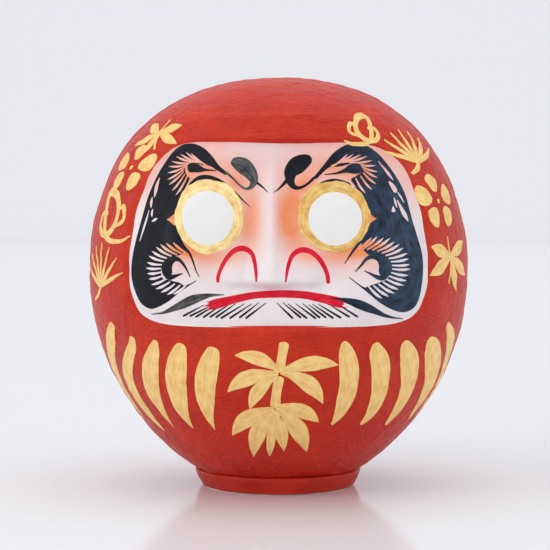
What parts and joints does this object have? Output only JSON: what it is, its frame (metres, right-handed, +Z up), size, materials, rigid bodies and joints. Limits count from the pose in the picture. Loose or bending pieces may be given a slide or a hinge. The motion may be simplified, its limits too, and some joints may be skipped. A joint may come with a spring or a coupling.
{
  "type": "daruma doll",
  "caption": "Round hollow papier-mache tumbler doll with a moulded, painted face, gold brushwork on a red robe and a weighted ring foot.",
  "frame": {"origin": "centre of the underside, on the surface the doll stands on", "axes": "+Z up through the crown, the face looks along -Y, +X to the right of a person facing the doll"},
  "size_m": [0.223, 0.2193, 0.2409],
  "materials": {
    "red_paper": "satin",
    "joint_paper": "satin",
    "foot_pulp": "satin",
    "clay": "matte",
    "board": "matte",
    "base_paper": "matte",
    "face_white": "satin",
    "black_ink": "satin",
    "gold_paint": "satin",
    "red_line": "satin",
    "orange_paint": "satin"
  },
  "bodies": {
    "root": {"front_shell": "red_paper", "back_shell": "red_paper", "seam_strip_left": "joint_paper", "seam_strip_right": "joint_paper", "crown_patch": "joint_paper", "foot_ring": "foot_pulp", "clay_weight": "clay", "base_board": "board", "base_paper": "base_paper"}
  },
  "joints": []
}
